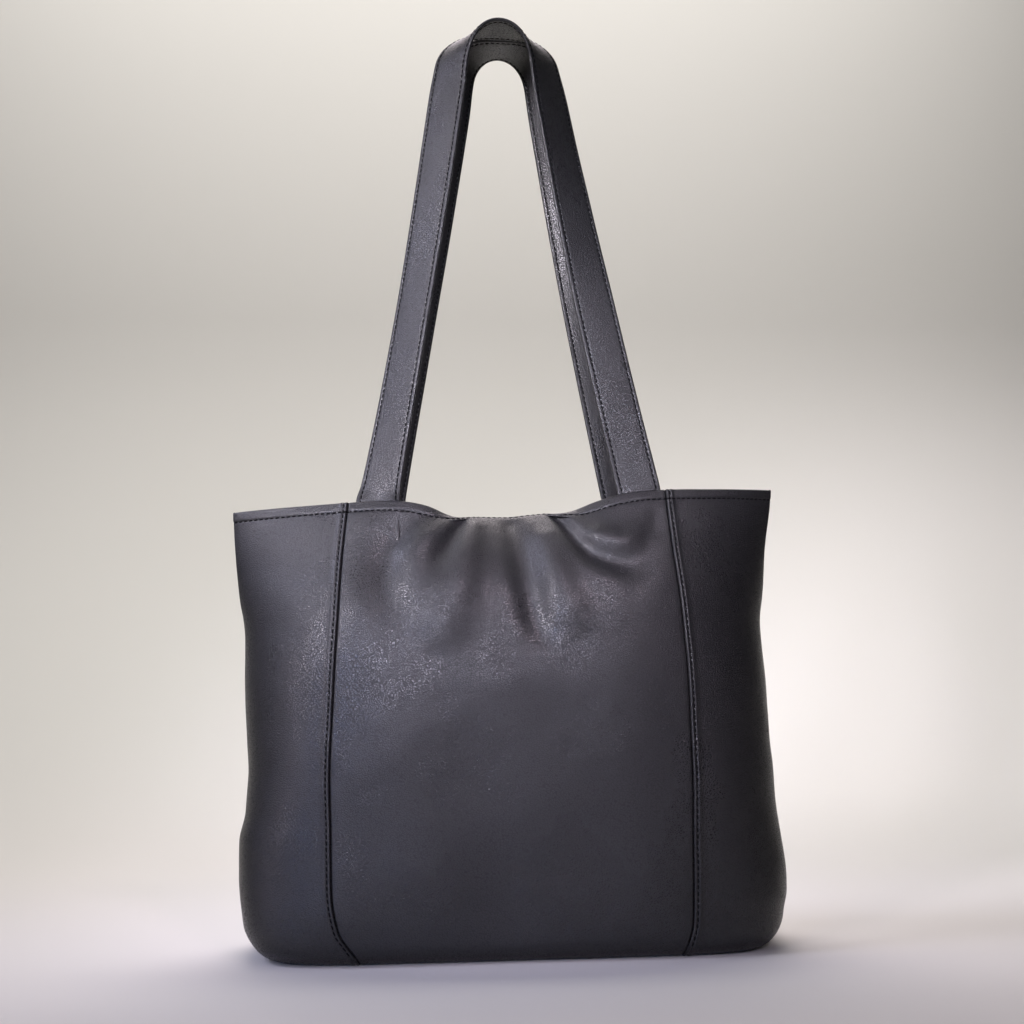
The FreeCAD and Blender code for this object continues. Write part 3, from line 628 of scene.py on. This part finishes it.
def build_face(side, creases, seed):
    """The three panels of one face with their stitching."""
    face = side_name(side)
    flip = side == FRONT
    centre = panel_points(side, creases, seed, seam_low, right_seam, PLAIN_NEAR, PLAIN_NEAR, 118,
                          flat_edge, flat_edge)
    left = panel_points(side, creases, seed, side_low, seam_low, PLAIN_NEAR, SEAM_NEAR, 46,
                        flat_edge, stitched_edge)
    right = panel_points(side, creases, seed, right_seam, side_high, SEAM_NEAR, PLAIN_NEAR, 46,
                         stitched_edge, flat_edge)
    for part, points in (("centre", centre), ("left", left), ("right", right)):
        obj = sheet_object("%s_%s_leather" % (face, part), points, panel_leather, not flip, LEATHER)
        moves = side == FRONT and part == "centre"
        keep(obj, ["%s_%s_panel" % (face, part)], body=None if moves else "bag")
        if moves:
            lip_blend(obj, *LEATHER_LIP)
        normals = grid_normals(points, np.array([0.0, side, 0.1]))
        row = len(BASE_ROWS) + RIM_STITCH_ROW
        line = stitch_line("%s_%s_rim_stitches" % (face, part), points[row], normals[row], thread)
        keep(line, [], body=None if moves else "bag")
        if moves:
            lip_blend(line, *LEATHER_LIP)
        if part != "centre":
            column = -1 - SEAM_STITCH_COLUMN if part == "left" else SEAM_STITCH_COLUMN
            rows = slice(len(BASE_ROWS) + 7, len(BASE_ROWS) + len(ROWS))
            keep(stitch_line("%s_%s_seam_stitches" % (face, part), points[rows, column],
                             normals[rows, column], thread), [])


CREASES = {FRONT: FRONT_CREASES, BACK: BACK_CREASES}
SEEDS = {FRONT: 11, BACK: 23}
for side in (FRONT, BACK):
    build_face(side, CREASES[side], SEEDS[side])


# ---------------------------------------------------------------- inner plies
def inner_grid(side, offset, low_row, high_row, rows, cols, wrinkle, seed):
    """Grid that lines one face from inside, a set distance in from the creased leather."""
    heights = np.linspace(low_row, high_row, rows)
    points = []
    for height in heights:
        x, y, run = section(height, side_low(height), side_high(height))
        at = np.linspace(0, run[-1], cols)
        px, py = np.interp(at, run, x), np.interp(at, run, y)
        points.append(np.stack([px, -py, height_at(px, height)], axis=-1))
    points = np.array(points)
    row = np.repeat(heights[:, None], cols, axis=1)
    normals = grid_normals(points, np.array([0.0, -1.0, 0.1]))
    sink = offset + wrinkle * ripple(points[..., 0], points[..., 2], seed, 55.0, 1.0)
    sink = np.maximum(sink, offset * 0.6) - soft_shift(points[..., 0], row, CREASES[side], SEEDS[side])
    points = points - normals * sink[..., None]
    points[..., 1] = np.minimum(points[..., 1], -0.4)
    points[..., 1] *= -side
    return points


STRAP_THICK = 3.0
STRAP_OFFSET = LEATHER + EDGE_ROLL + STRAP_THICK / 2 + 0.1
FACING_SINK, FACING_HEIGHT, FACING_THICK = 3.6, 52.0, 1.1
LINING_DEPTH, LINING_FLOOR, LINING_THICK = 7.0, 5.2, 0.6
LINING_TOP = RIM - 49.0
SNAP_DEPTH = 3.2


def facing(side, seed):
    """Leather band inside the rim that bulges over the strap ends."""
    face = side_name(side)
    points = inner_grid(side, FACING_SINK, RIM - FACING_HEIGHT, RIM - 0.8, 22, 240, 0.0, seed)
    bulge = sum(ease(STRAP_WIDTH / 2 + 9 - np.abs(points[..., 0] - s * STRAP_ROOT), 0, 9) for s in (-1, 1))
    rise = bulge * ease(points[..., 2], RIM - 44, RIM - 32) * (STRAP_THICK + 0.3)
    points[..., 1] -= side * rise
    band = sheet_object(face + "_facing_leather", points, panel_leather, side == FRONT,
                        FACING_THICK)
    return band, points


def snapped(points, side):
    """Lay the middle of a facing flat against its half of the snap."""
    near = bell(points[..., 0], 26.0) * (1 - ease(np.abs(points[..., 2] - SNAP_HEIGHT), 20, 46))
    lie = side * SNAP_DEPTH
    points[..., 1] += (lie - points[..., 1]) * np.clip(near * 1.5, 0, 1)
    return points


def build_inside(side, seed):
    face = side_name(side)
    obj, points = facing(side, seed)
    snapped(points, side)
    obj.data.vertices.foreach_set("co", (points.reshape(-1, 3) * MM).astype(np.float32).ravel())
    front = side == FRONT
    keep(obj, [face + "_facing"], body=None if front else "bag")
    lining = inner_grid(side, LINING_DEPTH, 2.0, LINING_TOP, 120, 190, 0.9, seed + 3)
    floor_rows = [lining[0] * np.array([1.0, k, 1.0]) for k in np.linspace(0.02, 1, 12)[:-1]]
    lining = np.concatenate([np.array(floor_rows), lining])
    lining[..., 2] = np.maximum(lining[..., 2], LINING_FLOOR)
    cloth = sheet_object(face + "_lining_cloth", lining, lining_cloth, front, LINING_THICK)
    keep(cloth, [face + "_lining"], body=None if front else "bag")
    if front:
        lip_blend(obj, *INNER_LIP)
        lip_blend(cloth, *INNER_LIP)


build_inside(FRONT, 41)
build_inside(BACK, 47)


# ---------------------------------------------------------------- inner pockets
POCKET_LOW, POCKET_HIGH = cad("slip_pocket", 0, "z"), cad("slip_pocket", 1, "z")
POCKET_HALF = cad("slip_pocket", 1, "x")
POCKET_SEAMS = [-POCKET_HALF, -42.0, 42.0, POCKET_HALF]
POCKET_SWELL = 12.0
LINING_SINK = 7.6


def inside_place(side, x, row, sink):
    """Points a set distance in from the creased leather of one face, and the way inwards."""
    wall, normal = wall_point(x, row)
    points = wall - normal * (sink - soft_shift(x, row, CREASES[side], SEEDS[side]))[..., None]
    inward = -normal
    for a in (points, inward):
        a[..., 1] *= -side
    return points, inward


def pocket_sink(x, row):
    """How far the bottle pocket's cloth stands off the leather: swelling between its seams."""
    swell = np.zeros(np.broadcast(x, row).shape)
    for low, high in zip(POCKET_SEAMS, POCKET_SEAMS[1:]):
        share = np.clip((x - low) / (high - low), 0.0, 1.0)
        swell = np.maximum(swell, np.sin(math.pi * share) ** 0.55)
    rise = np.sqrt(ease(row, POCKET_LOW, POCKET_LOW + 34.0))
    wave = np.sin(x * 2 * math.pi / 15.0 + 2.0 * np.sin(x / 19.0))
    gather = 0.9 * wave * ease(row, POCKET_HIGH - 42, POCKET_HIGH)
    folds = ripple(x, row, 61, 40.0, 0.5) * rise
    return LINING_SINK + 0.6 + (POCKET_SWELL + gather + folds) * swell * rise


def slip_pocket():
    """Gathered cloth of the bottle pockets, its hem of elastic, and the seams between them."""
    x, row = np.meshgrid(np.linspace(-POCKET_HALF, POCKET_HALF, 300),
                         np.linspace(POCKET_LOW, POCKET_HIGH, 64))
    points, _ = inside_place(FRONT, x, row, pocket_sink(x, row))
    cloth = sheet_object("slip_pocket_cloth", points, lining_cloth, True, -0.8)
    keep(cloth, ["slip_pocket"])
    ribs = 0.25 * np.sin(np.linspace(0, 9 * 2 * math.pi, 37))
    rows = np.linspace(POCKET_HIGH - 8.0, POCKET_HIGH, 37)
    x, row = np.meshgrid(np.linspace(-POCKET_HALF, POCKET_HALF, 300), rows)
    band, _ = inside_place(FRONT, x, row, pocket_sink(x, row) + 1.1 + ribs[:, None])
    keep(sheet_object("slip_pocket_elastic_band", band, elastic_cloth, True, -1.0),
         ["slip_pocket_elastic"])
    for i, at in enumerate(POCKET_SEAMS):
        rows = np.linspace(POCKET_LOW + 2, POCKET_HIGH - 9, 60)
        inset = 1.6 if at == POCKET_SEAMS[0] else -1.6 if at == POCKET_SEAMS[-1] else 0.0
        x = np.full(rows.shape, at + inset)
        line, inward = inside_place(FRONT, x, rows, pocket_sink(x, rows) + 0.9)
        keep(stitch_line("slip_pocket_seam_%d" % i, line, inward, thread, pitch=3.2, radius=0.3), [])


def zip_pouch():
    """Flat cloth pouch of the zip pocket between the back lining and the leather."""
    half = cad("zip_pocket_bag", 1, "x") - 1.0
    low, high = cad("zip_pocket_bag", 0, "z") + 1.0, cad("zip_pocket_bag", 1, "z") - 1.0
    count = 60
    share = np.linspace(-1, 1, count)
    around = np.concatenate([share, share[::-1][1:-1]]) * half
    ply = np.concatenate([np.full(count, -1.0), np.full(count - 2, 1.0)])
    x, row = np.meshgrid(around, np.linspace(low, high, 40))
    wide = np.clip(1 - (np.abs(x) / half) ** 6, 0, 1)
    tall = np.clip(1 - np.abs(2 * (row - low) / (high - low) - 1) ** 8, 0, 1)
    puff = 0.25 + 1.1 * wide * tall
    points, _ = inside_place(BACK, x, row, 4.3 + puff * ply[None, :])
    rows, cols = points.shape[:2]
    obj = make_object("zip_pouch_cloth", points.reshape(-1, 3),
                      grid_faces(rows, cols, around=True), lining_cloth)
    solid = obj.modifiers.new("thickness", "SOLIDIFY")
    solid.thickness = 0.3 * MM
    solid.offset = 0.0
    keep(obj, ["zip_pocket_bag"])


slip_pocket()
zip_pouch()


# ---------------------------------------------------------------- shoulder straps
STRAP_CLEAR = 0.6
STRAP_GROOVE, GROOVE_DEPTH = STRAP_WIDTH / 2 - 3.5, 0.34
LEG_BOW = 2.0
# The back loop hangs a little inside the front one: arch radius, its middle, root's half span.
LOOPS = {FRONT: (38.6, -3.5, STRAP_ROOT), BACK: (35.5, 0.0, STRAP_ROOT - 3.0)}
left_twist = curve([0, 0.03, 0.1, 0.22, 0.45, 0.7, 0.92, 1.0], [8, 24, 31, 36, 39, 36, 34, 40])
right_twist = curve([0, 0.2, 0.45, 0.57, 0.69, 0.81, 0.92, 1.0], [0, 8, 13, 20, 25, 31, 34, 42])


def strap_leg(side, sign, twist):
    """One half of a strap, from its end inside the hem to the top of the loop."""
    radius, middle, root_half = LOOPS[side]
    span = root_half + sign * middle
    centre_z = STRAP_TOP - STRAP_THICK / 2 - radius
    reach = math.hypot(span, centre_z - RIM)
    lean = math.atan2(span, centre_z - RIM) - math.asin(radius / reach)
    foot_x = middle + sign * radius * math.cos(lean)
    foot_z = centre_z + radius * math.sin(lean)
    y_top = -(STRAP_WIDTH / 2 + STRAP_CLEAR)
    rows = np.linspace(RIM - 33, RIM - 1, 12)
    x = np.full(rows.shape, sign * root_half)
    wall, normal = wall_point(x, rows)
    sink = STRAP_OFFSET - soft_shift(x, rows, CREASES[side], SEEDS[side])
    hidden = wall - normal * sink[:, None]
    leg = [(hidden[i], normal[i]) for i in range(len(rows))]
    root = hidden[-1]
    for run in np.linspace(0, 1, 130)[1:]:
        tilt = lean * float(ease(run, -0.03, 0.08))
        bow = sign * LEG_BOW * math.sin(math.pi * run)
        spot = np.array([root[0] + (foot_x - root[0]) * run - bow,
                         root[1] + (y_top - root[1]) * (1 - (1 - run) ** 1.6),
                         root[2] + (foot_z - root[2]) * run])
        leg.append((spot, strap_normal(sign, tilt, float(twist(run)) * float(ease(run, 0.0, 0.03)))))
    for share in np.linspace(0, 1, 30)[1:]:
        angle = lean + share * (math.pi / 2 - lean)
        turn = float(twist(1.0)) + (90 - float(twist(1.0))) * float(ease(share, 0, 1))
        spot = np.array([middle + sign * radius * math.cos(angle), y_top,
                         centre_z + radius * math.sin(angle)])
        leg.append((spot, strap_normal(sign, angle, turn)))
    return leg


def strap_normal(sign, angle, turn):
    """Outward normal of a strap that leans by angle and is turned towards its outer side."""
    outward = np.array([sign * math.cos(angle), 0.0, math.sin(angle)])
    turn = math.radians(turn)
    return np.array([0.0, -1.0, 0.0]) * math.cos(turn) + outward * math.sin(turn)


def strap_frames(side):
    """Points, outward normals and width directions of a strap, from left end to right end."""
    rows = strap_leg(side, -1.0, left_twist)
    rows += strap_leg(side, 1.0, right_twist)[::-1][1:]
    points = np.array([r[0] for r in rows])
    normals = np.array([r[1] for r in rows])
    along = unit(np.gradient(points, axis=0))
    for _ in range(3):
        normals[1:-1] = unit(normals[:-2] + normals[1:-1] * 2 + normals[2:])
        points[1:-1] = (points[:-2] + points[1:-1] * 2 + points[2:]) / 4
    normals = unit(normals - along * np.sum(normals * along, axis=1, keepdims=True))
    across = unit(np.cross(along, normals))
    for a in (points, normals, across):
        a[:, 1] *= -side
    return points, normals, across


def ply_profile():
    """Half section of a strap: distance across and height, over one face edge to edge."""
    half, top, lip = STRAP_WIDTH / 2, STRAP_THICK / 2, 1.35
    edge = [(half - lip + lip * math.cos(a), 0.12 + (top - 0.12) * math.sin(a))
            for a in np.linspace(0.0, math.pi / 2, 6)]
    face = [(STRAP_GROOVE + d, top - GROOVE_DEPTH * float(bell(d, 0.55)))
            for d in (1.2, 0.7, 0.35, 0, -0.35, -0.7, -1.2)]
    crown = [(x, top + 0.22 * (1 - (x / STRAP_GROOVE) ** 2)) for x in (10.0, 7.0, 3.5, 0.0)]
    right = [(half - 0.5, 0.04)] + edge + face + crown
    left = [(-x, h) for x, h in right[::-1][1:]]
    return np.array(right + left)


def strap_blend(obj):
    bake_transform(obj)


def build_strap(side):
    points, normals, across = strap_frames(side)
    face = side_name(side)
    profile = ply_profile()
    for ply, turn in (("outer", 1.0), ("inner", -1.0)):
        rings = (points[:, None] + across[:, None] * profile[None, :, :1]
                 + normals[:, None] * profile[None, :, 1:2] * turn)
        rows, cols = rings.shape[:2]
        faces = grid_faces(rows, cols, around=True, flip=(turn > 0) == (side == FRONT))
        obj = make_object("%s_strap_%s_leather" % (face, ply), rings.reshape(-1, 3), faces, strap_leather)
        names = ["%s_strap_%s" % (face, ply)]
        if ply == "outer":
            names += [face + "_strap_core", face + "_left_strap_tail", face + "_right_strap_tail"]
        keep(obj, names, body=None)
        strap_blend(obj)
        shown = slice(11, len(points) - 11)
        for edge in (-1.0, 1.0):
            path = points + across * STRAP_GROOVE * edge + normals * turn * (STRAP_THICK / 2 - GROOVE_DEPTH)
            where = "left" if edge < 0 else "right"
            line = stitch_line("%s_strap_%s_%s_stitches" % (face, ply, where), path[shown],
                               normals[shown] * turn, thread)
            keep(line, [], body=None)
            strap_blend(line)


build_strap(FRONT)
build_strap(BACK)


# ---------------------------------------------------------------- hard parts from the CAD
def finish_node(name, material):
    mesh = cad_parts[name].data
    mesh.materials.clear()
    mesh.materials.append(material)


for name, material in (
        ("front_snap_cup", nickel), ("front_snap_back_plate", nickel), ("back_snap_stud", nickel),
        ("front_snap_washer", nickel), ("back_snap_washer", nickel), ("front_snap_magnet", magnet_grey),
        ("zip_slider", nickel), ("zip_pull", nickel), ("zip_end_stops", nickel),
        ("zip_coil", coil_black), ("zip_tape", tape_cloth), ("zip_welt", panel_leather),
        ("base_board", board_grey)):
    finish_node(name, material)


# ---------------------------------------------------------------- floor, light and camera
def studio_floor():
    """Pale floor that curves up into a backdrop behind the bag."""
    half, near, far, rise, radius = 4500.0, -3500.0, 1400.0, 3600.0, 900.0
    line = [(near, 0.0), (far - radius, 0.0)]
    line += [(far - radius + radius * math.sin(a), radius * (1 - math.cos(a)))
             for a in np.linspace(0, math.pi / 2, 16)[1:]]
    line.append((far, rise))
    points = np.array([[(x, y, z) for x in (-half, half)] for y, z in line])
    material, nodes, links, shader = new_material("pale_studio")
    grain = node(nodes, "ShaderNodeTexNoise", Scale=3.0, Detail=2.0)
    mix = node(nodes, "ShaderNodeMix", data_type="RGBA")
    mix.inputs["A"].default_value = (0.70, 0.68, 0.65, 1.0)
    mix.inputs["B"].default_value = (0.74, 0.72, 0.69, 1.0)
    links.new(grain.outputs["Fac"], mix.inputs["Factor"])
    links.new(mix.outputs["Result"], shader.inputs["Base Color"])
    shader.inputs["Roughness"].default_value = 0.9
    floor = make_object("studio_floor", points.reshape(-1, 3), grid_faces(len(line), 2), material)


def area_light(name, place, target, size, power, colour, spread=60.0):
    data = bpy.data.lights.new(name, "AREA")
    data.shape = "RECTANGLE"
    data.size, data.size_y = size[0] * MM, size[1] * MM
    data.energy = power
    data.color = colour
    data.spread = math.radians(spread)
    light = bpy.data.objects.new(name, data)
    bpy.context.scene.collection.objects.link(light)
    aim(light, place, target)


def aim(obj, place, target, roll=0.0):
    """Put an object at a place, looking at a target, rolled about its view line."""
    place, target = Vector(place) * MM, Vector(target) * MM
    look = (target - place).normalized()
    turn = look.to_track_quat("-Z", "Y").to_matrix().to_4x4()
    obj.matrix_world = Matrix.Translation(place) @ turn @ Matrix.Rotation(roll, 4, "Z")


studio_floor()
# Softboxes with grids, by the way round from the front (left is less than 0) and the height
# above level in degrees: size, point aimed at, spread in degrees, watts and colour.
LIGHT_DISTANCE, LIGHT_CENTRE = 1600.0, 240.0
SOFTBOXES = {
    "strap_key": (-40, 25, 400, (-60, 0, 520), 30, 1.6, (0.96, 0.90, 1.0)),
    "strap_fill": (10, 30, 300, (60, 0, 480), 20, 0.29, (0.80, 0.83, 1.0)),
    "right_key": (20, 35, 400, (40, -40, 300), 20, 0.19, (1.0, 0.80, 0.95)),
    "window": (-80, 40, 600, (-150, 0, 250), 40, 0.84, (0.75, 0.76, 1.0)),
    "window_low": (-30, 10, 500, (-120, -60, 130), 24, 0.13, (0.05, 0.32, 1.0)),
    "left_fill": (-55, 8, 500, (-140, -60, 150), 24, 0.11, (1.0, 0.85, 1.0)),
    "front_fill": (-8, 14, 400, (-60, -60, 235), 20, 0.36, (0.86, 0.82, 1.0)),
    "back_light": (180, 60, 1200, (0, 0, 330), 60, 2.4, (1.0, 0.87, 0.93)),
}


def softbox(name, around, above, size, target, spread, power, colour):
    turn, climb = math.radians(around), math.radians(above)
    out = LIGHT_DISTANCE * math.cos(climb)
    place = (out * math.sin(turn), -out * math.cos(turn), LIGHT_CENTRE + LIGHT_DISTANCE * math.sin(climb))
    area_light(name, place, target, (size, size), power, colour, spread)


for name, values in SOFTBOXES.items():
    softbox(name, *values)
area_light("backdrop_light", (0, 700, 2600), (0, 1400, 500), (2400, 600), 24.0, (1.0, 0.98, 0.95), 100.0)
bpy.context.scene.view_settings.view_transform = "Standard"
world = bpy.data.worlds.new("soft_room")
bpy.context.scene.world = world
world.use_nodes = True
world.node_tree.nodes["Background"].inputs["Color"].default_value = (0.80, 0.80, 0.82, 1.0)
world.node_tree.nodes["Background"].inputs["Strength"].default_value = 0.01

CAMERA_PLACE, CAMERA_TARGET = (-80, -1045, 175), (4, 0, 330)
CAMERA_ROLL = math.radians(-0.85)
camera_data = bpy.data.cameras.new("camera")
camera_data.sensor_width = 36.0
camera_data.lens = 47.3
camera_data.clip_end = 50.0
camera = bpy.data.objects.new("camera", camera_data)
bpy.context.scene.collection.objects.link(camera)
bpy.context.scene.camera = camera
aim(camera, CAMERA_PLACE, CAMERA_TARGET, CAMERA_ROLL)
